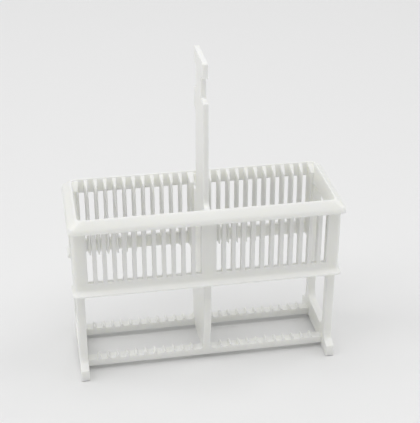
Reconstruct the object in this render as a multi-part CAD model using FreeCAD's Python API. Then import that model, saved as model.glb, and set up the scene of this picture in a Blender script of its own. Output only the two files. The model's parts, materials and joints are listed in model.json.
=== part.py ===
"""A slide staining rack for 24 microscope slides, moulded in one piece of white plastic.

The rack stands on four feet, with Z up and its origin on the floor under its middle.
X runs along the row of slides and Y runs across them, along each slide's width.
A central divider carries the two long walls, the two bottom bars and the handle.
"""
import FreeCAD, Part
import math
import os

from FreeCAD import Vector

# The slides, and the slots that hold them by their edges
slide_wide = 26.0
slide_play = 0.27
slots_per_side = 12
slot_pitch = 3.2
slot_gap = 1.87
groove_deep = 2.92

# Walls
wall_thick = 1.6
end_wall_thick = 3.2
divider_thick = 2.4

# Bottom bars and end rails: their undersides' heights above the floor, and their own heights
bar_low = 1.8
bar_high = 2.5
end_rail_low = 1.0
end_rail_high = 7.0

# Body: its underside above the floor, then each height measured from the one below it
body_low = 32.8
sill_high = 4.4
window_high = 18.75
window_to_lip = 0.55
rim_lip_thick = 0.8
rim_rise = 3.3

# Handle: heights above the rim, from the shoulder's top edge up to the head
shoulder_rise = 34.4
shoulder_high = 7.7
neck_high = 7.6
head_high = 5.1

# Rim flange: a roof that falls outwards to a thin lip, on walls that lean outwards above the lip
rim_side_reach = 2.35
rim_end_reach = 1.05
rim_lean = 0.95
rim_crown = 0.45
rim_round = 0.4
brow_set_in = 0.4
brow_drop = 2.2
hollow_corner = 0.6

# Middle flange, under the windows: a thin lip, with a hollow flare from the windows down to it
mid_lip_up = 0.4
mid_lip_thick = 0.6
mid_side_reach = 2.05
mid_end_reach = 0.7
flare_low_share = 0.44
flare_low_rise = 0.6
flare_high_share = 0.12
flare_high_rise = 1.4
wall_corner = 1.4
lip_corner = 1.8
lip_round = 0.22

# Ribs between the slots: V-shaped in plan, with a sloped lead-in at the top
crest_wide = 0.35
crest_round = 0.15
rib_top_drop = 0.35
rib_lead = 2.15
rib_round = 0.6

# Legs, feet and the opening in each end
leg_thick = 2.75
leg_wide = 3.15
leg_set_in = 0.47
toe_reach = 4.1
toe_height = 4.2
toe_rise = 1.6
toe_root_round = 2.5
toe_tip_round = 0.5
pad_inset = 0.6
end_opening_drop = 1.8
end_opening_round = 3.5
end_opening_top_round = 1.2

# Bottom bars and the teeth between the slides
bar_set_in = 2.44
bar_wide = 3.23
tooth_height = 0.9
bar_root_round = 2.0
divider_full_height = 16.0
small_round = 0.3

# Handle plate, above the divider
handle_thick = 1.8
handle_tip_thick = 1.65
handle_set_in = 4.02
handle_back = 5.6
shelf_drop = 1.25
saddle_drop = 3.6
shoulder_back = 8.5
shoulder_slope = 1.0
neck_half = 4.9
head_half = 8.5
handle_root_round = 2.7
handle_corner_round = 0.4

# How far one feature runs into the next, so that they join as one solid
overlap = 0.4
rim_overlap = 0.15
over_cut = 5.0

# Plan sizes that follow from the ones above
rib_wide = slot_pitch - slot_gap
rib_taper = (rib_wide - crest_wide) / 2
wall_inner = slide_wide / 2 + slide_play
wall_outer = wall_inner + wall_thick
in_wall = wall_inner + overlap
rim_inner = wall_inner + rim_lean
in_rim = rim_inner + rim_overlap
rib_front = wall_inner - groove_deep
divider_half = divider_thick / 2
first_slot = divider_half + rib_wide
end_inner = divider_half + slots_per_side * slot_pitch + rib_wide
end_outer = end_inner + end_wall_thick
leg_out = end_inner + leg_thick
leg_outer = wall_inner - leg_set_in
leg_inner = leg_outer - leg_wide
leg_cove = end_outer + mid_end_reach - lip_round - leg_out
toe_tip = leg_outer + toe_reach
bar_outer = wall_inner - bar_set_in
bar_inner = bar_outer - bar_wide
handle_front = wall_inner - handle_set_in

# Heights above the floor that follow from the ones above
bar_top = bar_low + bar_high
end_rail_top = end_rail_low + end_rail_high
window_low = body_low + sill_high
window_top = window_low + window_high
mid_lip_low = body_low + mid_lip_up
rim_lip_low = window_top + window_to_lip
rim_height = rim_lip_low + rim_lip_thick + rim_rise
end_opening_top = rim_lip_low - end_opening_drop
shelf_height = rim_height - shelf_drop
saddle_height = rim_height - saddle_drop
shoulder_height = rim_height + shoulder_rise
shoulder_low = shoulder_height - shoulder_high
head_low = shoulder_height + neck_high
total_height = head_low + head_high


def box(x_low, x_high, y_low, y_high, z_low, z_high):
    """A block between two corners."""
    return Part.makeBox(x_high - x_low, y_high - y_low, z_high - z_low, Vector(x_low, y_low, z_low))


def on_yz(y, z):
    """A point of an outline that is drawn across the rack."""
    return Vector(0, y, z)


def on_xz(x, z):
    """A point of an outline that is drawn along the rack."""
    return Vector(x, 0, z)


def on_xy(x, y):
    """A point of an outline that is drawn in plan."""
    return Vector(x, y, 0)


def outline(corners, place):
    """A closed wire through corners (a, b, radius); place puts a and b in space."""
    spans = []
    for index, (a, b, radius) in enumerate(corners):
        corner = place(a, b)
        if radius == 0:
            spans.append((corner, corner, corner))
            continue
        before = place(*corners[index - 1][:2]) - corner
        after = place(*corners[(index + 1) % len(corners)][:2]) - corner
        before.normalize()
        after.normalize()
        half_angle = before.getAngle(after) / 2
        reach = radius / math.tan(half_angle)
        inward = (before + after).normalize()
        middle = corner + inward * (radius / math.sin(half_angle) - radius)
        spans.append((corner + before * reach, middle, corner + after * reach))
    edges = []
    for index, (start, middle, end) in enumerate(spans):
        last_end = spans[index - 1][2]
        if last_end.distanceToPoint(start) > 1e-6:
            edges.append(Part.LineSegment(last_end, start).toShape())
        if start.distanceToPoint(end) > 1e-6:
            edges.append(Part.Arc(start, middle, end).toShape())
    return Part.Wire(edges)


def plate_yz(corners, x_low, x_high):
    """A plate with a YZ outline, from x_low to x_high."""
    face = Part.Face(outline(corners, on_yz))
    face.translate(Vector(x_low, 0, 0))
    return face.extrude(Vector(x_high - x_low, 0, 0))


def plate_xz(corners, y_low, y_high):
    """A plate with an XZ outline, from y_low to y_high."""
    face = Part.Face(outline(corners, on_xz))
    face.translate(Vector(0, y_low, 0))
    return face.extrude(Vector(0, y_high - y_low, 0))


def mirrored_x(shape):
    """The same shape on the other end of the rack."""
    return shape.mirror(Vector(0, 0, 0), Vector(1, 0, 0))


def mirrored_y(shape):
    """The same shape on the other long side of the rack."""
    return shape.mirror(Vector(0, 0, 0), Vector(0, 1, 0))


def on_both_sides(shapes):
    """The shapes and their copies on the other long side."""
    return shapes + [mirrored_y(shape) for shape in shapes]


def on_both_ends(shapes):
    """The shapes and their copies on the other end."""
    return shapes + [mirrored_x(shape) for shape in shapes]


def plan_wire(half_long, half_wide, radius, height):
    """A rounded rectangle, level, at a height."""
    corners = [
        (-half_long, -half_wide, radius),
        (half_long, -half_wide, radius),
        (half_long, half_wide, radius),
        (-half_long, half_wide, radius),
    ]
    wire = outline(corners, on_xy)
    wire.translate(Vector(0, 0, height))
    return wire


def roof(low, high):
    """A solid between two level rounded rectangles, each (half_long, half_wide, radius, height)."""
    return Part.makeLoft([plan_wire(*low), plan_wire(*high)], True, True)


def stack(sections):
    """A solid that passes through level sections, from the lowest to the highest."""
    steps = [roof(low, high) for low, high in zip(sections, sections[1:])]
    return steps[0].fuse(steps[1:])


def rim_flange():
    """The block of the rim before the hollow is cut: a lip with a roof in two slopes on it."""
    lip_long = end_outer + rim_end_reach
    lip_wide = wall_outer + rim_side_reach
    crown = rim_lean + rim_crown
    sections = [
        (lip_long, lip_wide, lip_corner, rim_lip_low),
        (lip_long, lip_wide, lip_corner, rim_lip_low + rim_lip_thick),
        (lip_long - brow_set_in, lip_wide - brow_set_in, lip_corner, rim_height - brow_drop),
        (end_inner + crown, wall_inner + crown, hollow_corner + crown, rim_height),
    ]
    return stack(sections)


def flare_section(share, height):
    """One level section of the middle flange, which stands out by a share of the lip's reach."""
    return (
        end_outer + share * mid_end_reach,
        wall_outer + share * mid_side_reach,
        wall_corner + share * (lip_corner - wall_corner),
        height,
    )


def mid_flange():
    """The block of the middle flange: a thin lip, with a flare above it and a slope below."""
    lip_top = mid_lip_low + mid_lip_thick
    sections = [
        flare_section(0, body_low),
        flare_section(1, mid_lip_low),
        flare_section(1, lip_top),
        flare_section(flare_low_share, lip_top + flare_low_rise),
        flare_section(flare_high_share, lip_top + flare_high_rise),
        flare_section(0, window_low),
    ]
    return stack(sections)


def edge_middle(edge):
    """The point half way along an edge."""
    return edge.valueAt((edge.FirstParameter + edge.LastParameter) / 2)


def level_edges(shape, height):
    """The edges of a shape that lie at a height."""
    found = []
    for edge in shape.Edges:
        reach = edge.BoundBox
        if reach.ZLength < 1e-6 and abs(reach.ZMax - height) < 1e-6:
            found.append(edge)
    return found


def round_lips(block):
    """Round the outer edges of both lips."""
    edges = []
    for height in (rim_lip_low, rim_lip_low + rim_lip_thick, mid_lip_low, mid_lip_low + mid_lip_thick):
        for edge in level_edges(block, height):
            middle = edge_middle(edge)
            if abs(middle.x) > end_outer + 0.01 or abs(middle.y) > wall_outer + 0.01:
                edges.append(edge)
    return block.makeFillet(lip_round, edges)


def round_rim(shell):
    """Round the hollow's top edge, where the slides are let in."""
    within_x = end_inner + rim_lean + rim_crown / 2
    within_y = rim_inner + rim_crown / 2
    edges = []
    for edge in level_edges(shell, rim_height):
        reach = edge.BoundBox
        if max(-reach.XMin, reach.XMax) < within_x and max(-reach.YMin, reach.YMax) < within_y:
            edges.append(edge)
    return shell.makeFillet(rim_round, edges)


def round_outline(plate, chosen):
    """Round the edges of a crosswise plate's two faces, where chosen(middle of the edge) is true."""
    edges = []
    for edge in plate.Edges:
        if edge.BoundBox.XLength < small_round and chosen(edge_middle(edge)):
            edges.append(edge)
    return plate.makeFillet(small_round, edges)


def hollow_section(spread, height):
    """One level section of the hollow, wider by spread all round."""
    return (end_inner + spread, wall_inner + spread, hollow_corner + spread, height)


def hollow():
    """The cutter of the hollow: straight up past the windows, then leaning outwards to the crown."""
    sections = [
        hollow_section(0, body_low - over_cut),
        hollow_section(0, rim_lip_low),
        hollow_section(rim_lean, rim_height),
        hollow_section(rim_lean, rim_height + over_cut),
    ]
    return stack(sections)


def open_box():
    """The four walls with both flanges, hollow from top to bottom, with no windows yet."""
    walls = roof(
        (end_outer, wall_outer, wall_corner, body_low),
        (end_outer, wall_outer, wall_corner, rim_lip_low + overlap),
    )
    block = round_lips(walls.fuse([rim_flange(), mid_flange()]).removeSplitter())
    return round_rim(block.cut(hollow()))


def windows():
    """The cutters of the windows, one behind each slot, through both long walls."""
    depth = wall_outer + over_cut
    cutters = []
    for index in range(slots_per_side):
        start = first_slot + index * slot_pitch
        cutters.append(box(start, start + slot_gap, -depth, depth, window_low, window_top))
    return on_both_ends(cutters)


def end_opening():
    """The cutter of one end's opening, from the end rail up to just under the rim."""
    corners = [
        (-leg_inner, end_rail_top, end_opening_round),
        (leg_inner, end_rail_top, end_opening_round),
        (leg_inner, end_opening_top, end_opening_top_round),
        (-leg_inner, end_opening_top, end_opening_top_round),
    ]
    return plate_yz(corners, end_inner - over_cut, end_outer + over_cut)


def rib_side():
    """The corners of a rib's side: a bar down the far wall, with its top sloped and rounded."""
    top = rim_height - rib_top_drop
    return [
        (in_wall, body_low, 0),
        (in_rim, top, 0),
        (rim_inner, top, 0),
        (rib_front, top - rib_lead, rib_round),
        (rib_front, body_low, 0),
    ]


def rib(root_low, root_high, crest_low, crest_high):
    """One rib on the far wall, as wide as its root at the wall and as its crest at the front."""
    corners = [
        (root_low, in_rim, 0),
        (root_high, in_rim, 0),
        (root_high, wall_inner, 0),
        (crest_high, rib_front, crest_round),
        (crest_low, rib_front, crest_round),
        (root_low, wall_inner, 0),
    ]
    plan = Part.Face(outline(corners, on_xy)).extrude(Vector(0, 0, total_height))
    return plan.common(plate_yz(rib_side(), root_low, root_high))


def ribs():
    """The ribs between the slots, with one along the divider and one along each end wall."""
    shapes = []
    for index in range(1, slots_per_side):
        low = divider_half + index * slot_pitch
        high = low + rib_wide
        shapes.append(rib(low, high, low + rib_taper, high - rib_taper))
    divider_side = divider_half - overlap
    shapes.append(rib(divider_side, first_slot, divider_side, first_slot - rib_taper))
    end_side = end_inner + rim_lean + rim_overlap
    last_slot = end_inner - rib_wide
    shapes.append(rib(last_slot, end_side, last_slot + rib_taper, end_side))
    return on_both_ends(on_both_sides(shapes))


def divider_and_handle():
    """The middle plate: full between the walls, cut down to a saddle behind the handle, then the handle."""
    corners = [
        (-bar_outer, bar_low, 0),
        (-bar_outer, bar_top + bar_root_round, 0),
        (-leg_outer, divider_full_height, 0),
        (-leg_outer, body_low, 0),
        (-in_wall, body_low, 0),
        (-in_rim, shelf_height, 0),
        (-handle_front, shelf_height, handle_root_round),
        (-handle_front, shoulder_height, handle_corner_round),
        (-neck_half, shoulder_height, handle_corner_round),
        (-neck_half, head_low, handle_corner_round),
        (-head_half, head_low, handle_corner_round),
        (-head_half, total_height, handle_corner_round),
        (head_half, total_height, handle_corner_round),
        (head_half, head_low, handle_corner_round),
        (neck_half, head_low, handle_corner_round),
        (neck_half, shoulder_height, handle_corner_round),
        (shoulder_back, shoulder_height - shoulder_slope, handle_corner_round),
        (shoulder_back, shoulder_low, handle_corner_round),
        (handle_back, shoulder_low, handle_corner_round),
        (handle_back, saddle_height, handle_root_round),
        (wall_inner, saddle_height, handle_root_round),
        (wall_inner, saddle_height + handle_root_round + overlap / 2, 0),
        (in_rim, saddle_height + handle_root_round + overlap / 2, 0),
        (in_wall, body_low, 0),
        (leg_outer, body_low, 0),
        (leg_outer, divider_full_height, 0),
        (bar_outer, bar_top + bar_root_round, 0),
        (bar_outer, bar_low, 0),
    ]
    plate = plate_yz(corners, -divider_half, divider_half).common(draft_envelope())
    return round_outline(plate, lambda middle: middle.z > rim_height)


def draft_envelope():
    """The space between the divider's drafted faces: thick below, thinner in the handle."""
    low_half = divider_half
    root_half = handle_thick / 2
    tip_half = handle_tip_thick / 2
    corners = [
        (-low_half, 0, 0),
        (low_half, 0, 0),
        (low_half, body_low, 0),
        (root_half, rim_height, 0),
        (tip_half, total_height + over_cut, 0),
        (-tip_half, total_height + over_cut, 0),
        (-root_half, rim_height, 0),
        (-low_half, body_low, 0),
    ]
    depth = wall_outer + over_cut
    return plate_xz(corners, -depth, depth)


def end_frame():
    """One end's two legs, four-toed foot and rail, as one plate with an opening."""
    root_height = toe_height + toe_rise
    pad_in = leg_inner - pad_inset
    half = [
        (pad_in - end_rail_low, end_rail_low, 0),
        (pad_in, 0, 0),
        (toe_tip, 0, toe_tip_round),
        (toe_tip, toe_height, toe_tip_round),
        (leg_outer, root_height, toe_root_round),
        (leg_outer, body_low + overlap, 0),
    ]
    other_half = [(-y, z, radius) for y, z, radius in reversed(half)]
    plate = plate_yz(half + other_half, end_inner, leg_out).cut(end_opening())
    return round_outline(plate, lambda middle: middle.z < body_low + 0.01)


def leg_coves():
    """The coved webs from the legs' outer faces to the underside of the middle flange."""
    inside = leg_out - overlap
    under = mid_lip_low + mid_lip_thick / 2
    low = mid_lip_low - leg_cove
    block = box(inside, leg_out + leg_cove, leg_inner, leg_outer, low, under)
    round_cut = Part.makeCylinder(
        leg_cove,
        leg_outer + over_cut,
        Vector(leg_out + leg_cove, 0, low),
        Vector(0, 1, 0),
    )
    return on_both_ends(on_both_sides([block.cut(round_cut)]))


def tooth(centre):
    """One tooth of the far bar, peaked, between two slides."""
    half_root = rib_wide / 2
    half_crest = crest_wide / 2
    crest = bar_top + tooth_height
    corners = [
        (centre - half_root, bar_top - overlap, 0),
        (centre + half_root, bar_top - overlap, 0),
        (centre + half_root, bar_top, 0),
        (centre + half_crest, crest, 0),
        (centre - half_crest, crest, 0),
        (centre - half_root, bar_top, 0),
    ]
    return plate_xz(corners, bar_inner, bar_outer)


def bar():
    """The far bottom bar with its teeth, and a rounded root where it meets the divider."""
    inside = end_inner + overlap
    beam = box(-inside, inside, bar_inner, bar_outer, bar_low, bar_top)
    root_reach = divider_half + bar_root_round
    root = box(-root_reach, root_reach, bar_inner, bar_outer, bar_top - overlap, bar_top + bar_root_round)
    for side in (-root_reach, root_reach):
        scoop = Part.makeCylinder(
            bar_root_round,
            bar_wide + 2 * over_cut,
            Vector(side, bar_inner - over_cut, bar_top + bar_root_round),
            Vector(0, 1, 0),
        )
        root = root.cut(scoop)
    teeth = []
    for index in range(1, slots_per_side):
        teeth.append(tooth(divider_half + rib_wide / 2 + index * slot_pitch))
    return beam.fuse([root] + on_both_ends(teeth))


def rack():
    """The whole moulding as one solid."""
    shell = open_box().cut(Part.makeCompound(windows() + on_both_ends([end_opening()])))
    pieces = ribs() + [divider_and_handle()]
    pieces += on_both_ends([end_frame()]) + leg_coves() + on_both_sides([bar()])
    return shell.fuse(pieces).removeSplitter()


def main():
    """Build the rack, check that it is one sound solid, and write it."""
    os.makedirs("parts", exist_ok=True)
    shape = rack()
    solids = shape.Solids
    bounds = shape.BoundBox
    print("solids", len(solids), "valid", shape.isValid(), "volume", round(shape.Volume, 1))
    print("size", round(bounds.XLength, 2), round(bounds.YLength, 2), round(bounds.ZLength, 2))
    print("lowest point", round(bounds.ZMin, 4))
    solids[0].exportStep("parts/slide_rack.step")


main()
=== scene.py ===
"""A slide staining rack for 24 microscope slides: its one white moulding, its finish and its studio.

Everything is in metres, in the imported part's frame: Z is up, X runs along the row of slides
and Y runs across them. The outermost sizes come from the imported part, and the others are
written in millimetres and turned into metres by MM.
"""

import json
import logging
import math
from dataclasses import dataclass
from enum import Enum
from typing import Any, Iterable, Sequence

import bmesh
import bpy
from mathutils import Matrix, Vector

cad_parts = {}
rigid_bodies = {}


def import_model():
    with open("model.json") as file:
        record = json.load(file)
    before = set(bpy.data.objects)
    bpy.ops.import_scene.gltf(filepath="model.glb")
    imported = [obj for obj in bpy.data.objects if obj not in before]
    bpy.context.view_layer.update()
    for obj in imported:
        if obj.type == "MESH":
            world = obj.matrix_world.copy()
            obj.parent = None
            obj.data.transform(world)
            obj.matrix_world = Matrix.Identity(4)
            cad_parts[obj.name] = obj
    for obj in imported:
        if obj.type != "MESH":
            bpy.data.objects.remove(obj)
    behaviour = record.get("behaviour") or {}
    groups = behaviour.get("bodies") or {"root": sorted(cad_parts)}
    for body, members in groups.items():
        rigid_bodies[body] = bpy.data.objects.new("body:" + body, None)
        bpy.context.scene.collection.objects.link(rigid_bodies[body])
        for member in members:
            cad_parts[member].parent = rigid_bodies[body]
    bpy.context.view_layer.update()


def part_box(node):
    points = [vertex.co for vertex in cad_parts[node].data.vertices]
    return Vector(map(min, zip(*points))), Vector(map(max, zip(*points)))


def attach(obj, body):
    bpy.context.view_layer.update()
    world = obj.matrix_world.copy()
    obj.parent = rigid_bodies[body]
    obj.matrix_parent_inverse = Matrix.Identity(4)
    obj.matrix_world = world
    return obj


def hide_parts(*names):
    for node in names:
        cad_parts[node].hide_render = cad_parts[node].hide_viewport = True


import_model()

MM = 0.001
CAD_NODE = "slide_rack"
BODY = "root"

# A quarter turn gets fewer steps below this radius
SMALL_RADIUS = 1.0 * MM
SMALL_ARC_STEPS = 4
LARGE_ARC_STEPS = 8

log = logging.getLogger("slide_rack")


# ---------------------------------------------------------------------------
# Solids made by mesh operators
# ---------------------------------------------------------------------------


class Axis(Enum):
    """The direction that an outline is drawn across, and then drawn out along."""

    X = 0
    Y = 1
    Z = 2

    @property
    def unit(self) -> Vector:
        """A vector one metre long, in this direction."""
        direction = Vector((0.0, 0.0, 0.0))
        direction[self.value] = 1.0
        return direction

    def place(self, a: float, b: float) -> Vector:
        """A point of an outline that this axis crosses; a comes before b in the order X, Y, Z."""
        values = [a, b]
        values.insert(self.value, 0.0)
        return Vector(values)


@dataclass(frozen=True)
class Corner:
    """A corner of an outline, rounded to a radius."""

    a: float
    b: float
    radius: float = 0.0


@dataclass(frozen=True)
class Station:
    """A level rounded rectangle, one step of a ring of walls."""

    half_long: float
    half_wide: float
    radius: float
    height: float

    def centre(self, side_x: int, side_y: int) -> Vector:
        """The middle of the arc at one of the four corners."""
        return Vector(
            (
                side_x * (self.half_long - self.radius),
                side_y * (self.half_wide - self.radius),
                self.height,
            )
        )


def arc_steps(radius: float) -> int:
    """How many straight steps a quarter turn of this radius gets."""
    return SMALL_ARC_STEPS if radius < SMALL_RADIUS else LARGE_ARC_STEPS


class Solid:
    """A closed shape, made in a bmesh by operators."""

    def __init__(self) -> None:
        """Starts with an empty bmesh."""
        self.mesh = bmesh.new()

    @classmethod
    def block(cls, low: Vector, high: Vector) -> "Solid":
        """A box between two corners.

        Args:
            low: The corner with the smallest coordinates.
            high: The corner with the largest coordinates.

        Returns:
            The box as a solid.
        """
        solid = cls()
        corners = bmesh.ops.create_cube(solid.mesh, size=1.0)["verts"]
        bmesh.ops.scale(solid.mesh, vec=high - low, verts=corners)
        bmesh.ops.translate(solid.mesh, vec=(low + high) / 2, verts=corners)
        return solid

    @classmethod
    def plate(cls, outline: Sequence[Corner], across: Axis, low: float, high: float) -> "Solid":
        """A plate with an outline that is drawn out along an axis.

        Args:
            outline: The corners in order, each with its radius.
            across: The axis that crosses the outline.
            low: Where the plate starts on that axis.
            high: Where it ends.

        Returns:
            The plate as a solid.
        """
        solid = cls()
        mesh = solid.mesh
        start = across.unit * low
        points = [mesh.verts.new(across.place(corner.a, corner.b) + start) for corner in outline]
        mesh.faces.new(points)
        for point, corner in zip(points, outline):
            if corner.radius > 0.0:
                solid.round_corner(point, corner.radius)
        drawn = bmesh.ops.extrude_face_region(mesh, geom=mesh.faces[:])["geom"]
        far_points = [item for item in drawn if isinstance(item, bmesh.types.BMVert)]
        bmesh.ops.translate(mesh, vec=across.unit * (high - low), verts=far_points)
        return solid.facing_outwards()

    @classmethod
    def ring(cls, stations: Sequence[Station]) -> "Solid":
        """A closed ring of walls, whose section passes through the stations in order.

        Args:
            stations: Rounded rectangles from the section's first point round to its last.

        Returns:
            The ring as a solid.
        """
        solid = cls()
        mesh = solid.mesh
        first = stations[0]
        corners = [
            mesh.verts.new((side_x * first.half_long, side_y * first.half_wide, first.height))
            for side_x, side_y in ((-1, -1), (1, -1), (1, 1), (-1, 1))
        ]
        mesh.faces.new(corners)
        for corner in corners:
            solid.round_corner(corner, first.radius)
        (sheet,) = mesh.faces
        first_loop = list(sheet.edges)
        bmesh.ops.delete(mesh, geom=[sheet], context="FACES_ONLY")
        loop = first_loop
        for before, after in zip(stations, stations[1:]):
            drawn = bmesh.ops.extrude_edge_only(mesh, edges=loop)["geom"]
            points = [item for item in drawn if isinstance(item, bmesh.types.BMVert)]
            new_points = set(points)
            loop = [
                item
                for item in drawn
                if isinstance(item, bmesh.types.BMEdge) and new_points.issuperset(item.verts)
            ]
            solid.restation(points, before, after)
        bmesh.ops.bridge_loops(mesh, edges=first_loop + loop)
        return solid.facing_outwards()

    def restation(self, points: Iterable[bmesh.types.BMVert], before: Station, after: Station) -> None:
        """Moves a loop of points from one station to the next.

        Args:
            points: The loop's points, which lie on the first station.
            before: The station that they lie on.
            after: The station that they go to.
        """
        growth = after.radius / before.radius
        for side_x in (-1, 1):
            for side_y in (-1, 1):
                arc = [p for p in points if p.co.x * side_x > 0.0 and p.co.y * side_y > 0.0]
                centre = before.centre(side_x, side_y)
                move = after.centre(side_x, side_y) - centre
                about = Matrix.Translation(-centre)
                bmesh.ops.scale(self.mesh, vec=(growth, growth, 1.0), space=about, verts=arc)
                bmesh.ops.translate(self.mesh, vec=move, verts=arc)

    def round_corner(self, point: bmesh.types.BMVert, radius: float) -> None:
        """Rounds one corner of a flat outline.

        Args:
            point: The corner, with two edges of the outline.
            radius: The radius of its arc.
        """
        first, second = (edge.other_vert(point).co - point.co for edge in point.link_edges)
        reach = radius / math.tan(first.angle(second) / 2)
        bmesh.ops.bevel(
            self.mesh,
            geom=[point],
            offset=reach,
            offset_type="OFFSET",
            segments=arc_steps(radius),
            profile=0.5,
            affect="VERTICES",
            clamp_overlap=False,
            material=-1,
        )

    def facing_outwards(self) -> "Solid":
        """Turns every face outwards and returns the solid."""
        bmesh.ops.recalc_face_normals(self.mesh, faces=self.mesh.faces[:])
        return self

    def cut_level(self, height: float) -> "Solid":
        """Adds edges where a level plane crosses the solid, and returns the solid."""
        mesh = self.mesh
        everything = mesh.verts[:] + mesh.edges[:] + mesh.faces[:]
        bmesh.ops.bisect_plane(mesh, geom=everything, plane_co=(0.0, 0.0, height), plane_no=(0.0, 0.0, 1.0))
        return self

    def mirrored(self, axis: Axis) -> "Solid":
        """The same solid on the other side of the rack, across an axis.

        Args:
            axis: The axis whose sign changes.

        Returns:
            A new solid, with its faces outwards.
        """
        other = Solid()
        other.mesh = self.mesh.copy()
        factors = Vector((1.0, 1.0, 1.0)) - 2.0 * axis.unit
        bmesh.ops.scale(other.mesh, vec=factors, verts=other.mesh.verts[:])
        return other.facing_outwards()

    def moved(self, offset: Vector) -> "Solid":
        """A copy of the solid, moved by an offset."""
        other = Solid()
        other.mesh = self.mesh.copy()
        bmesh.ops.translate(other.mesh, vec=offset, verts=other.mesh.verts[:])
        return other

    def combined(self, other: "Solid", how: "Joining") -> "Solid":
        """Joins two solids into a new one.

        Args:
            other: The second solid. Both are used up.
            how: Whether it is added, cut out, or only the shared space is kept.

        Returns:
            The new solid.
        """
        holder = joined(self.as_object("first"), [other], how)
        result = Solid()
        result.mesh.from_mesh(holder.data)
        data = holder.data
        bpy.data.objects.remove(holder)
        bpy.data.meshes.remove(data)
        return result

    def as_object(self, name: str) -> bpy.types.Object:
        """Turns the solid into an object of the scene.

        Args:
            name: The object's name.

        Returns:
            The object, at the origin.
        """
        data = bpy.data.meshes.new(name)
        self.mesh.to_mesh(data)
        self.mesh.free()
        made = bpy.data.objects.new(name, data)
        bpy.context.scene.collection.objects.link(made)
        return made


def on_both(solids: Sequence[Solid], axis: Axis) -> list[Solid]:
    """The solids and their mirror images across an axis."""
    return list(solids) + [solid.mirrored(axis) for solid in solids]


class Joining(Enum):
    """How one solid and others become one."""

    ADD = "UNION"
    CUT = "DIFFERENCE"
    KEEP_SHARED = "INTERSECT"


def put_in_order(data: bpy.types.Mesh) -> None:
    """Sorts a mesh's points and faces, because the solver's own order changes from run to run.

    Args:
        data: The mesh. Its shape stays the same.
    """
    points = sorted(data.vertices, key=lambda point: tuple(point.co.xzy))
    places = [tuple(point.co) for point in points]
    rank = {point.index: number for number, point in enumerate(points)}
    faces = []
    for polygon in data.polygons:
        loop = [rank[index] for index in polygon.vertices]
        first = loop.index(min(loop))
        faces.append(loop[first:] + loop[:first])
    data.clear_geometry()
    data.from_pydata(places, [], sorted(faces))


def joined(target: bpy.types.Object, others: Sequence[Solid], how: Joining) -> bpy.types.Object:
    """Adds solids to an object, cuts them out of it, or keeps only what they share with it.

    Args:
        target: The object that changes.
        others: The solids that it takes in. They are used up.
        how: Whether they are added, cut out, or only the shared space is kept.

    Returns:
        The changed object.
    """
    tools = bpy.data.collections.new("tools")
    bpy.context.scene.collection.children.link(tools)
    for number, solid in enumerate(others):
        tool = solid.as_object(f"tool_{number}")
        bpy.context.scene.collection.objects.unlink(tool)
        tools.objects.link(tool)
    modifier = target.modifiers.new("joining", "BOOLEAN")
    modifier.operation = how.value
    modifier.solver = "MANIFOLD"
    modifier.operand_type = "COLLECTION"
    modifier.collection = tools
    graph = bpy.context.evaluated_depsgraph_get()
    result = bpy.data.meshes.new_from_object(target.evaluated_get(graph))
    put_in_order(result)
    target.modifiers.clear()
    old = target.data
    target.data = result
    bpy.data.meshes.remove(old)
    for tool in list(tools.objects):
        data = tool.data
        bpy.data.objects.remove(tool)
        bpy.data.meshes.remove(data)
    bpy.data.collections.remove(tools)
    return target


# ---------------------------------------------------------------------------
# The sub-assemblies of the moulding
# ---------------------------------------------------------------------------


@dataclass(frozen=True)
class Layout:
    """The places that several sub-assemblies share."""

    half_long: float
    half_wide: float
    height: float
    rim_end_reach: float = 1.05 * MM
    rim_side_reach: float = 2.35 * MM
    wall_thick: float = 1.6 * MM
    end_wall_thick: float = 3.2 * MM
    divider_half: float = 1.2 * MM
    slots_per_side: int = 12
    pitch: float = 3.2 * MM
    gap: float = 1.87 * MM
    groove_deep: float = 2.92 * MM
    body_low: float = 32.8 * MM
    mid_lip_low: float = 33.2 * MM
    mid_end_reach: float = 0.7 * MM
    lip_round: float = 0.22 * MM
    rim_lip_low: float = 56.5 * MM
    rim_height: float = 60.6 * MM
    rim_lean: float = 0.95 * MM
    shelf: float = 59.35 * MM
    crest: float = 0.35 * MM
    leg_inner: float = 9.65 * MM
    leg_outer: float = 12.8 * MM
    bar_low: float = 1.8 * MM
    bar_top: float = 4.3 * MM
    bar_inner: float = 7.6 * MM
    bar_outer: float = 10.83 * MM
    root_round: float = 2.0 * MM
    overlap: float = 0.4 * MM
    rim_overlap: float = 0.15 * MM
    past: float = 5.0 * MM
    arc_sink: float = 0.15 * MM

    @classmethod
    def from_frame(cls) -> "Layout":
        """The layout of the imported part, whose box gives the outermost sizes."""
        _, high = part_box(CAD_NODE)
        return cls(half_long=high.x, half_wide=high.y, height=high.z)

    @property
    def end_outer(self) -> float:
        """Half the length over the end walls."""
        return self.half_long - self.rim_end_reach

    @property
    def end_inner(self) -> float:
        """Half the length of the hollow."""
        return self.end_outer - self.end_wall_thick

    @property
    def wall_outer(self) -> float:
        """Half the width over the long walls."""
        return self.half_wide - self.rim_side_reach

    @property
    def wall_inner(self) -> float:
        """Half the width of the hollow, which the slides fit."""
        return self.wall_outer - self.wall_thick

    @property
    def rib_wide(self) -> float:
        """The width of a rib, and of a tooth's root."""
        return self.pitch - self.gap

    @property
    def rim_inner(self) -> float:
        """Half the width of the hollow at the crown, where the walls lean outwards."""
        return self.wall_inner + self.rim_lean

    def slot_start(self, index: int) -> float:
        """Where a slot starts, counted from the divider."""
        return self.divider_half + self.rib_wide + index * self.pitch

    def rib_start(self, index: int) -> float:
        """Where a rib starts, counted from the one that lies along the divider."""
        return self.divider_half + index * self.pitch


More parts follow.
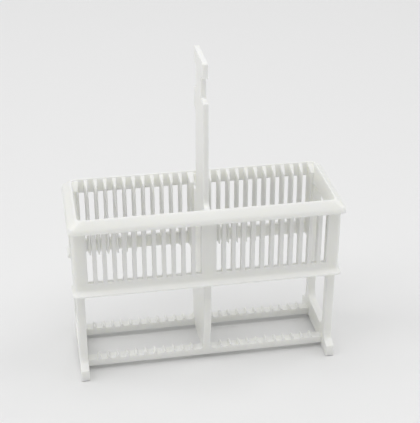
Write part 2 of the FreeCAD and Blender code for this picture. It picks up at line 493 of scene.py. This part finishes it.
@dataclass
class EndOpening:
    """The opening in each end, from the foot rail up to just under the rim."""

    layout: Layout
    low: float = 8.0 * MM
    high: float = 54.7 * MM
    low_round: float = 3.5 * MM
    high_round: float = 1.2 * MM

    def cutter(self) -> Solid:
        """The cutter of one end's opening, through its wall and its leg frame."""
        place = self.layout
        outline = [
            Corner(-place.leg_inner, self.low, self.low_round),
            Corner(place.leg_inner, self.low, self.low_round),
            Corner(place.leg_inner, self.high, self.high_round),
            Corner(-place.leg_inner, self.high, self.high_round),
        ]
        return Solid.plate(outline, Axis.X, place.end_inner - place.past, place.half_long + place.past)


@dataclass
class Walls:
    """The four walls with their two flanges and the windows behind the slots."""

    layout: Layout
    hollow_corner: float = 0.6 * MM
    wall_corner: float = 1.4 * MM
    lip_corner: float = 1.8 * MM
    mid_side_reach: float = 2.05 * MM
    mid_lip_high: float = 33.8 * MM
    flare_low: tuple[float, float] = (0.44, 34.4 * MM)
    flare_high: tuple[float, float] = (0.12, 35.2 * MM)
    flare_top: tuple[float, float] = (0.0, 36.7 * MM)
    rim_lip_high: float = 57.3 * MM
    brow_set_in: float = 0.4 * MM
    brow_height: float = 58.4 * MM
    crown: float = 0.45 * MM
    rim_round: float = 0.3 * MM
    rim_round_steps: int = 5
    window_low: float = 37.2 * MM
    window_top: float = 55.95 * MM

    def hollow(self, spread: float, height: float) -> Station:
        """A station of the hollow, wider by spread all round."""
        place = self.layout
        return Station(
            place.end_inner + spread,
            place.wall_inner + spread,
            self.hollow_corner + spread,
            height,
        )

    def mid_flange(self, share: float, height: float) -> Station:
        """A station of the middle flange, beyond the walls by a share of its lip's reach."""
        place = self.layout
        return Station(
            place.end_outer + share * place.mid_end_reach,
            place.wall_outer + share * self.mid_side_reach,
            self.wall_corner + share * (self.lip_corner - self.wall_corner),
            height,
        )

    def crown_arc(self) -> list[Station]:
        """The stations of the crown's inner rounding, from its flat top down to the leaning wall."""
        place = self.layout
        full_turn = math.atan2(place.rim_height - place.rim_lip_low, place.rim_lean)
        start = place.rim_lean + self.rim_round * math.tan(full_turn / 2)
        arc = []
        for step in range(self.rim_round_steps + 1):
            turn = full_turn * step / self.rim_round_steps
            spread = start - self.rim_round * math.sin(turn)
            drop = self.rim_round * (1.0 - math.cos(turn))
            arc.append(self.hollow(spread, place.rim_height - drop))
        return arc

    def stations(self) -> list[Station]:
        """The wall's section, up its outside, over the rim and down the hollow."""
        place = self.layout
        section = [
            self.hollow(0.0, place.body_low),
            self.mid_flange(0.0, place.body_low),
            self.mid_flange(1.0, place.mid_lip_low),
            self.mid_flange(1.0, self.mid_lip_high),
            self.mid_flange(*self.flare_low),
            self.mid_flange(*self.flare_high),
            self.mid_flange(*self.flare_top),
            self.mid_flange(0.0, place.rim_lip_low),
            Station(place.half_long, place.half_wide, self.lip_corner, place.rim_lip_low),
            Station(place.half_long, place.half_wide, self.lip_corner, self.rim_lip_high),
            Station(
                place.half_long - self.brow_set_in,
                place.half_wide - self.brow_set_in,
                self.lip_corner,
                self.brow_height,
            ),
            self.hollow(place.rim_lean + self.crown, place.rim_height),
        ]
        return section + self.crown_arc() + [self.hollow(0.0, place.rim_lip_low)]

    def windows(self) -> list[Solid]:
        """The cutters of the windows, one behind each slot, through both long walls."""
        place = self.layout
        cutters = []
        for index in range(place.slots_per_side):
            start = place.slot_start(index)
            low = Vector((start, -place.half_wide, self.window_low))
            high = Vector((start + place.gap, place.half_wide, self.window_top))
            cutters.append(Solid.block(low, high))
        return on_both(cutters, Axis.X)

    def build(self) -> bpy.types.Object:
        """Makes the windowed walls as an object."""
        walls = Solid.ring(self.stations()).as_object("walls")
        openings = on_both([EndOpening(self.layout).cutter()], Axis.X)
        return joined(walls, self.windows() + openings, Joining.CUT)


@dataclass
class Ribs:
    """The ribs that part the slides, V-shaped in plan, on both long walls."""

    layout: Layout
    top: float = 60.25 * MM
    lead_drop: float = 2.15 * MM
    front_round: float = 0.3 * MM

    def rib(self, root: tuple[float, float], crest: tuple[float, float]) -> Solid:
        """One rib of the far wall, with a sloped lead-in at its top.

        Args:
            root: Where the rib starts and ends along the rack, at the wall.
            crest: Where it starts and ends at its front.

        Returns:
            The rib as a solid.
        """
        place = self.layout
        in_rim = place.rim_inner + place.rim_overlap
        front = place.wall_inner - place.groove_deep
        plan = [
            Corner(root[0], in_rim),
            Corner(root[1], in_rim),
            Corner(root[1], place.wall_inner),
            Corner(crest[1], front),
            Corner(crest[0], front),
            Corner(root[0], place.wall_inner),
        ]
        side = [
            Corner(in_rim + place.past, place.body_low),
            Corner(in_rim + place.past, self.top),
            Corner(place.rim_inner, self.top),
            Corner(front, self.top - self.lead_drop, self.front_round),
            Corner(front, place.body_low - place.past),
            Corner(in_rim + place.past, place.body_low - place.past),
        ]
        upright = Solid.plate(plan, Axis.Z, place.body_low, place.rim_height)
        return upright.combined(Solid.plate(side, Axis.X, root[0], root[1]), Joining.KEEP_SHARED)

    def build(self) -> list[Solid]:
        """Makes every rib, with one along the divider and one along each end wall."""
        place = self.layout
        last = place.slots_per_side
        taper = (place.rib_wide - place.crest) / 2
        low = place.rib_start(1)
        high = low + place.rib_wide
        middle = self.rib((low, high), (low + taper, high - taper))
        ribs = [middle.moved(Axis.X.unit * index * place.pitch) for index in range(last - 1)]
        in_divider = place.divider_half / 2
        divider_side = place.slot_start(0)
        ribs.append(self.rib((in_divider, divider_side), (in_divider, divider_side - taper)))
        in_end = place.end_inner + place.rim_lean + place.rim_overlap
        end_side = place.rib_start(last)
        ribs.append(self.rib((end_side, in_end), (end_side + taper, in_end)))
        return on_both(on_both(ribs, Axis.Y), Axis.X)


@dataclass
class Divider:
    """The middle plate that parts the two rows of slides, and the handle that rises from it."""

    layout: Layout
    taper_start: float = 16.0 * MM
    saddle_height: float = 57.0 * MM
    saddle_round: float = 2.5 * MM
    front_edge: float = 9.25 * MM
    back_edge: float = 5.6 * MM
    shoulder_back: float = 8.5 * MM
    shoulder_low: float = 87.3 * MM
    shoulder_high: float = 95.0 * MM
    shoulder_slope: float = 1.0 * MM
    neck_half: float = 4.9 * MM
    head_half: float = 8.5 * MM
    head_thick: float = 5.1 * MM
    root_round: float = 2.7 * MM
    corner_round: float = 0.4 * MM
    handle_half: float = 0.9 * MM
    tip_half: float = 0.825 * MM

    def below_walls(self, side: int) -> list[Corner]:
        """The plate's edge under one long wall, from the bar up to the wall."""
        place = self.layout
        return [
            Corner(side * place.bar_outer, place.bar_low),
            Corner(side * place.bar_outer, place.bar_top + place.root_round),
            Corner(side * place.leg_outer, self.taper_start),
            Corner(side * place.leg_outer, place.body_low),
            Corner(side * (place.wall_inner + place.overlap), place.body_low),
        ]

    def outline(self) -> list[Corner]:
        """The plate's outline, up the front, over the handle's head and down the back."""
        place = self.layout
        small = self.corner_round
        in_rim = place.rim_inner + place.rim_overlap
        wall_side = place.wall_inner + place.arc_sink
        cover = self.saddle_height + self.saddle_round + place.arc_sink
        head_low = place.height - self.head_thick
        front = self.below_walls(-1) + [
            Corner(-in_rim, place.shelf),
            Corner(-self.front_edge, place.shelf, self.root_round),
            Corner(-self.front_edge, self.shoulder_high, small),
            Corner(-self.neck_half, self.shoulder_high, small),
            Corner(-self.neck_half, head_low, small),
            Corner(-self.head_half, head_low, small),
            Corner(-self.head_half, place.height, small),
        ]
        back = self.below_walls(1) + [
            Corner(in_rim, cover),
            Corner(wall_side, cover),
            Corner(wall_side, self.saddle_height, self.saddle_round),
            Corner(self.back_edge, self.saddle_height, self.root_round),
            Corner(self.back_edge, self.shoulder_low, small),
            Corner(self.shoulder_back, self.shoulder_low, small),
            Corner(self.shoulder_back, self.shoulder_high - self.shoulder_slope, small),
            Corner(self.neck_half, self.shoulder_high, small),
            Corner(self.neck_half, head_low, small),
            Corner(self.head_half, head_low, small),
            Corner(self.head_half, place.height, small),
        ]
        return front + back[::-1]

    def half_thickness(self, height: float) -> float:
        """Half the plate's thickness at a height: full below the walls, thinner in the handle."""
        place = self.layout
        if height <= place.body_low:
            return place.divider_half
        if height <= place.rim_height:
            share = (height - place.body_low) / (place.rim_height - place.body_low)
            return place.divider_half + share * (self.handle_half - place.divider_half)
        share = (height - place.rim_height) / (place.height - place.rim_height)
        return self.handle_half + share * (self.tip_half - self.handle_half)

    def build(self) -> list[Solid]:
        """Makes the plate with its drafted faces."""
        place = self.layout
        plate = Solid.plate(self.outline(), Axis.X, -place.divider_half, place.divider_half)
        plate.cut_level(place.body_low).cut_level(place.rim_height)
        for point in plate.mesh.verts:
            point.co.x = math.copysign(self.half_thickness(point.co.z), point.co.x)
        return [plate]


@dataclass
class EndFrames:
    """The two ends' legs, each pair joined by a foot rail with a toe at each corner."""

    layout: Layout
    thick: float = 2.75 * MM
    rail_low: float = 1.0 * MM
    toe_reach: float = 4.1 * MM
    toe_height: float = 4.2 * MM
    toe_rise: float = 1.6 * MM
    toe_root_round: float = 2.5 * MM
    toe_tip_round: float = 0.5 * MM
    pad_inset: float = 0.6 * MM
    cove_share: float = 0.98

    @property
    def outer(self) -> float:
        """Half the length over both leg frames."""
        return self.layout.end_inner + self.thick

    def plate(self) -> Solid:
        """One frame before its opening is cut."""
        place = self.layout
        pad_inner = place.leg_inner - self.pad_inset
        toe_tip = place.leg_outer + self.toe_reach
        half = [
            Corner(pad_inner - self.rail_low, self.rail_low),
            Corner(pad_inner, 0.0),
            Corner(toe_tip, 0.0, self.toe_tip_round),
            Corner(toe_tip, self.toe_height, self.toe_tip_round),
            Corner(place.leg_outer, self.toe_height + self.toe_rise, self.toe_root_round),
            Corner(place.leg_outer, place.body_low + place.overlap),
        ]
        other_half = [Corner(-corner.a, corner.b, corner.radius) for corner in reversed(half)]
        return Solid.plate(half + other_half, Axis.X, place.end_inner, self.outer)

    def cove(self) -> Solid:
        """The coved web from a leg's outer face to the underside of the middle flange."""
        place = self.layout
        reach = place.end_outer + place.mid_end_reach - place.lip_round - self.outer
        inside = self.outer - place.overlap
        low = place.mid_lip_low - reach - place.overlap
        high = place.mid_lip_low + place.overlap
        outline = [
            Corner(inside, low),
            Corner(self.outer, low),
            Corner(self.outer, place.mid_lip_low, reach * self.cove_share),
            Corner(self.outer + reach, place.mid_lip_low),
            Corner(self.outer + reach, high),
            Corner(inside, high),
        ]
        return Solid.plate(outline, Axis.Y, place.leg_inner, place.leg_outer)

    def build(self) -> list[Solid]:
        """Makes both frames with their coves."""
        end_frame = self.plate().combined(EndOpening(self.layout).cutter(), Joining.CUT)
        return on_both([end_frame] + on_both([self.cove()], Axis.Y), Axis.X)


@dataclass
class BottomBars:
    """The two bars under the slides, with a tooth between each slide and the next."""

    layout: Layout
    tooth_height: float = 0.9 * MM

    def half_profile(self) -> list[Corner]:
        """The bar's top edge from the divider out to its end, as seen from the side."""
        place = self.layout
        peak = place.bar_top + self.tooth_height
        root = place.divider_half - place.arc_sink
        root_top = place.bar_top + place.root_round + place.overlap
        top = [Corner(root, root_top), Corner(root, place.bar_top, place.root_round)]
        for index in range(1, place.slots_per_side):
            start = place.rib_start(index)
            middle = start + place.rib_wide / 2
            top += [
                Corner(start, place.bar_top),
                Corner(middle - place.crest / 2, peak),
                Corner(middle + place.crest / 2, peak),
                Corner(start + place.rib_wide, place.bar_top),
            ]
        return top + [Corner(place.end_inner + place.overlap, place.bar_top)]

    def build(self) -> list[Solid]:
        """Makes both bars."""
        place = self.layout
        half = self.half_profile()
        end = half[-1].a
        bottom = [Corner(end, place.bar_low), Corner(-end, place.bar_low)]
        other_half = [Corner(-corner.a, corner.b, corner.radius) for corner in half]
        outline = half + bottom + other_half[::-1]
        bar = Solid.plate(outline, Axis.Y, place.bar_inner, place.bar_outer)
        return on_both([bar], Axis.Y)


# ---------------------------------------------------------------------------
# Shader maths and finishes
# ---------------------------------------------------------------------------


class Shader:
    """A material's node tree, with one method that makes every node."""

    def __init__(self, tree: bpy.types.NodeTree) -> None:
        """Empties the tree.

        Args:
            tree: The node tree that this shader fills.
        """
        self.tree = tree
        tree.nodes.clear()

    def node(self, kind: str, settings: dict[str, Any] | None = None, **inputs: Any) -> bpy.types.Node:
        """Makes a node.

        Args:
            kind: The node's type, such as ShaderNodeMath.
            settings: The node's own properties, which are set first.
            **inputs: Values or links, by socket name in lower case with _ for spaces.

        Returns:
            The node.
        """
        made = self.tree.nodes.new(kind)
        for name, value in (settings or {}).items():
            setattr(made, name, value)
        for name, value in inputs.items():
            self.feed(self.socket(made, name), value)
        return made

    def socket(self, node: bpy.types.Node, name: str) -> bpy.types.NodeSocket:
        """Finds an enabled input of a node.

        Args:
            node: The node to search.
            name: The socket's name in lower case, with _ for spaces, or in_ and its number.

        Returns:
            The input socket.
        """
        if name.startswith("in_"):
            return node.inputs[int(name[3:])]
        wanted = name.replace("_", " ")
        return next(s for s in node.inputs if s.enabled and s.name.lower() == wanted)

    def feed(self, socket: bpy.types.NodeSocket, value: Any) -> None:
        """Sets a socket to a value, or links it."""
        if isinstance(value, Signal):
            self.tree.links.new(value.socket, socket)
        elif isinstance(value, bpy.types.NodeSocket):
            self.tree.links.new(value, socket)
        else:
            socket.default_value = value


class Signal:
    """A value that varies over a surface. Its operators add Math nodes."""

    def __init__(self, shader: Shader, socket: bpy.types.NodeSocket) -> None:
        """Wraps an output socket.

        Args:
            shader: The shader that the socket belongs to.
            socket: The output socket.
        """
        self.shader = shader
        self.socket = socket

    def maths(self, operation: str, first: Any, second: Any) -> "Signal":
        """Adds one Math node and returns its output."""
        made = self.shader.node("ShaderNodeMath", {"operation": operation}, in_0=first, in_1=second)
        return Signal(self.shader, made.outputs[0])

    def __add__(self, other: Any) -> "Signal":
        """This value and another, added."""
        return self.maths("ADD", self, other)

    def __radd__(self, other: Any) -> "Signal":
        """Another value and this one, added."""
        return self.maths("ADD", other, self)

    def __sub__(self, other: Any) -> "Signal":
        """This value less another."""
        return self.maths("SUBTRACT", self, other)

    def __rsub__(self, other: Any) -> "Signal":
        """Another value less this one."""
        return self.maths("SUBTRACT", other, self)

    def __mul__(self, other: Any) -> "Signal":
        """This value times another."""
        return self.maths("MULTIPLY", self, other)

    def __rmul__(self, other: Any) -> "Signal":
        """Another value times this one."""
        return self.maths("MULTIPLY", other, self)


Colour = tuple[float, float, float, float]


@dataclass(frozen=True)
class MouldedPlastic:
    """Satin white moulded plastic, a little see-through where it is thin."""

    name: str = "white_plastic"
    colour: Colour = (0.870, 0.875, 0.850, 1.0)
    warm_colour: Colour = (0.868, 0.868, 0.832, 1.0)
    patch_size: float = 22.0 * MM
    patch_detail: float = 2.0
    roughness: float = 0.42
    roughness_swing: float = 0.10
    grain_size: float = 0.35 * MM
    grain_detail: float = 3.0
    grain_height: float = 0.004 * MM
    sink_size: float = 9.0 * MM
    sink_detail: float = 1.0
    sink_height: float = 0.02 * MM
    bend_of_light: float = 1.49
    depth_of_light: float = 3.0 * MM
    depth_by_colour: tuple[float, float, float] = (1.0, 1.0, 0.9)
    softness: float = 0.8

    def noise(self, shader: Shader, size: float, detail: float) -> Signal:
        """A noise pattern with blobs of a size, fixed to the piece."""
        place = shader.node("ShaderNodeTexCoord").outputs["Object"]
        made = shader.node("ShaderNodeTexNoise", vector=place, scale=1.0 / size, detail=detail)
        return Signal(shader, made.outputs[0])

    def make(self) -> bpy.types.Material:
        """Builds the material.

        Returns:
            The material.
        """
        material = bpy.data.materials.new(self.name)
        material.use_nodes = True
        shader = Shader(material.node_tree)
        patches = self.noise(shader, self.patch_size, self.patch_detail)
        grain = self.noise(shader, self.grain_size, self.grain_detail)
        sink = self.noise(shader, self.sink_size, self.sink_detail)
        tint = shader.node(
            "ShaderNodeMix",
            {"data_type": "RGBA"},
            factor=patches,
            a=self.colour,
            b=self.warm_colour,
        )
        rough = self.roughness + (grain + patches - 1.0) * self.roughness_swing
        relief = grain * self.grain_height + sink * self.sink_height
        bump = shader.node("ShaderNodeBump", strength=1.0, distance=1.0, height=relief)
        plastic = shader.node(
            "ShaderNodeBsdfPrincipled",
            {"subsurface_method": "RANDOM_WALK"},
            base_color=tint.outputs[2],
            roughness=rough,
            ior=self.bend_of_light,
            subsurface_weight=self.softness,
            subsurface_radius=self.depth_by_colour,
            subsurface_scale=self.depth_of_light,
            normal=bump.outputs[0],
        )
        shader.node("ShaderNodeOutputMaterial", surface=plastic.outputs[0])
        return material


@dataclass(frozen=True)
class TableTop:
    """The pale matt table that the rack stands on."""

    name: str = "pale_table"
    colour: Colour = (0.82, 0.82, 0.82, 1.0)
    roughness: float = 0.6

    def make(self) -> bpy.types.Material:
        """Builds the material.

        Returns:
            The material.
        """
        material = bpy.data.materials.new(self.name)
        material.use_nodes = True
        shader = Shader(material.node_tree)
        surface = shader.node("ShaderNodeBsdfPrincipled", base_color=self.colour, roughness=self.roughness)
        shader.node("ShaderNodeOutputMaterial", surface=surface.outputs[0])
        return material


# ---------------------------------------------------------------------------
# The finished moulding
# ---------------------------------------------------------------------------


@dataclass
class Moulding:
    """The whole rack as one piece, with every edge softened as a mould leaves it."""

    layout: Layout
    edge_round: float = 0.14 * MM
    edge_steps: int = 3
    edge_angle: float = math.radians(28.0)
    flat_angle: float = math.radians(0.5)
    sliver_angle: float = math.radians(20.0)
    crease_angle: float = math.radians(36.0)
    area_weight: int = 100
    merge_gap: float = 0.03 * MM
    sliver_gap: float = 0.004 * MM

    def solids(self) -> list[Solid]:
        """Everything that is added to the walls."""
        found: list[Solid] = []
        for part in (Ribs, Divider, EndFrames, BottomBars):
            made = part(self.layout).build()
            log.info("%s: %d solids", part.__name__, len(made))
            found += made
        return found

    def split_faces(self, mesh: bmesh.types.BMesh) -> None:
        """Adds edges down the middle of every slot and of the ends, so that no face has a hole.

        Args:
            mesh: The moulding's mesh.
        """
        place = self.layout
        middles = [place.slot_start(index) + place.gap / 2 for index in range(place.slots_per_side)]
        cuts = [(middle * side, Axis.X) for middle in middles for side in (-1, 1)]
        for distance, axis in cuts + [(0.0, Axis.Y)]:
            everything = mesh.verts[:] + mesh.edges[:] + mesh.faces[:]
            point = axis.unit * distance
            made = bmesh.ops.bisect_plane(mesh, geom=everything, plane_co=point, plane_no=axis.unit)
            for item in made["geom_cut"]:
                if isinstance(item, bmesh.types.BMEdge):
                    item.seam = True

    def is_rounded(self, edge: bmesh.types.BMEdge) -> bool:
        """Whether an edge stands out sharply, with room beside it for a rounding."""
        if edge.calc_face_angle_signed(0.0) < self.edge_angle:
            return False
        corners = [corner for loop in edge.link_loops for corner in (loop, loop.link_loop_next)]
        return min(corner.calc_angle() for corner in corners) > self.sliver_angle

    def soften(self, piece: bpy.types.Object) -> None:
        """Cleans the joined mesh and rounds its sharp edges.

        Args:
            piece: The moulding, straight after its solids were joined.
        """
        mesh = bmesh.new()
        mesh.from_mesh(piece.data)
        bmesh.ops.remove_doubles(mesh, verts=mesh.verts[:], dist=self.merge_gap)
        bmesh.ops.triangulate(mesh, faces=mesh.faces[:])
        bmesh.ops.dissolve_degenerate(mesh, dist=self.sliver_gap, edges=mesh.edges[:])
        self.split_faces(mesh)
        bmesh.ops.dissolve_limit(
            mesh,
            angle_limit=self.flat_angle,
            verts=mesh.verts[:],
            edges=mesh.edges[:],
            use_dissolve_boundaries=False,
            delimit={"SEAM"},
        )
        sharp = [edge for edge in mesh.edges if self.is_rounded(edge)]
        bmesh.ops.bevel(
            mesh,
            geom=sharp,
            offset=self.edge_round,
            offset_type="OFFSET",
            segments=self.edge_steps,
            profile=0.5,
            affect="EDGES",
            clamp_overlap=False,
            material=-1,
        )
        for face in mesh.faces:
            face.smooth = True
        for edge in mesh.edges:
            edge.seam = False
            edge.smooth = edge.calc_face_angle(0.0) < self.crease_angle
        mesh.to_mesh(piece.data)
        mesh.free()

    def build(self) -> bpy.types.Object:
        """Makes the moulding, dresses it and puts it in the CAD node's place.

        Returns:
            The finished piece.
        """
        walls = Walls(self.layout).build()
        piece = joined(walls, self.solids(), Joining.ADD)
        piece.name = "rack_moulding"
        self.soften(piece)
        weighted = piece.modifiers.new("even_shading", "WEIGHTED_NORMAL")
        weighted.keep_sharp = True
        weighted.weight = self.area_weight
        piece.data.materials.clear()
        piece.data.materials.append(MouldedPlastic().make())
        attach(piece, BODY)
        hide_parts(CAD_NODE)
        log.info("%s: %d faces", piece.name, len(piece.data.polygons))
        return piece


# ---------------------------------------------------------------------------
# The studio
# ---------------------------------------------------------------------------


@dataclass(frozen=True)
class Lamp:
    """A soft square lamp that hangs over the table and shines on the rack."""

    name: str
    side: float
    power: float
    place: tuple[float, float, float]
    aim: tuple[float, float, float] = (0.0, 0.0, 30.0 * MM)

    def hang(self) -> bpy.types.Object:
        """Adds the lamp to the scene."""
        data = bpy.data.lights.new(self.name, "AREA")
        data.shape = "SQUARE"
        data.size = self.side
        data.energy = self.power
        lamp = bpy.data.objects.new(self.name, data)
        lamp.location = self.place
        lamp.rotation_euler = (Vector(self.aim) - Vector(self.place)).to_track_quat("-Z", "Y").to_euler()
        bpy.context.scene.collection.objects.link(lamp)
        return lamp


@dataclass
class Studio:
    """A pale table, soft light from all round, and the camera."""

    lamps: tuple[Lamp, ...] = (
        Lamp("overhead", side=1.2, power=7.2, place=(-0.1, -0.25, 1.3)),
        Lamp("left", side=1.8, power=15.0, place=(-1.7, 0.0, 1.5)),
        Lamp("right", side=1.8, power=14.0, place=(1.7, 0.0, 1.5)),
        Lamp("behind", side=1.8, power=5.0, place=(0.0, 1.7, 1.5)),
    )
    table_half: float = 3.0
    sky: float = 0.35
    turn: float = math.radians(10.02)
    tilt: float = math.radians(28.64)
    roll: float = math.radians(0.075)
    distance: float = 371.1 * MM
    target: Vector = Vector((2.95, 0.0, 52.0)) * MM
    lens: float = 94.6
    nearest: float = 0.01
    farthest: float = 20.0

    def table(self) -> bpy.types.Object:
        """Lays the table under the rack."""
        mesh = bmesh.new()
        bmesh.ops.create_grid(mesh, x_segments=1, y_segments=1, size=self.table_half)
        data = bpy.data.meshes.new("table")
        mesh.to_mesh(data)
        mesh.free()
        table = bpy.data.objects.new("table", data)
        bpy.context.scene.collection.objects.link(table)
        data.materials.append(TableTop().make())
        return table

    def light(self) -> None:
        """Lights the table from the sky and from the lamps."""
        world = bpy.data.worlds.new("sky")
        world.use_nodes = True
        shader = Shader(world.node_tree)
        sky = shader.node("ShaderNodeBackground", color=(1.0, 1.0, 1.0, 1.0), strength=self.sky)
        shader.node("ShaderNodeOutputWorld", surface=sky.outputs[0])
        bpy.context.scene.world = world
        for lamp in self.lamps:
            lamp.hang()

    def camera(self) -> bpy.types.Object:
        """Sets up the camera.

        Returns:
            The camera.
        """
        data = bpy.data.cameras.new("camera")
        data.lens = self.lens
        data.clip_start = self.nearest
        data.clip_end = self.farthest
        camera = bpy.data.objects.new("camera", data)
        back = Vector(
            (
                -math.sin(self.turn) * math.cos(self.tilt),
                -math.cos(self.turn) * math.cos(self.tilt),
                math.sin(self.tilt),
            )
        )
        camera.location = self.target + back * self.distance
        aim = (-back).to_track_quat("-Z", "Y").to_matrix()
        camera.rotation_euler = (aim @ Matrix.Rotation(self.roll, 3, "Z")).to_euler()
        bpy.context.scene.collection.objects.link(camera)
        bpy.context.scene.camera = camera
        return camera

    def build(self) -> None:
        """Makes the table, the light and the camera."""
        self.table()
        self.light()
        self.camera()
        bpy.context.scene.view_settings.view_transform = "Standard"


def main() -> None:
    """Builds the rack and its studio."""
    logging.basicConfig(level=logging.INFO, format="%(name)s: %(message)s")
    Moulding(Layout.from_frame()).build()
    Studio().build()


if __name__ == "__main__":
    main()
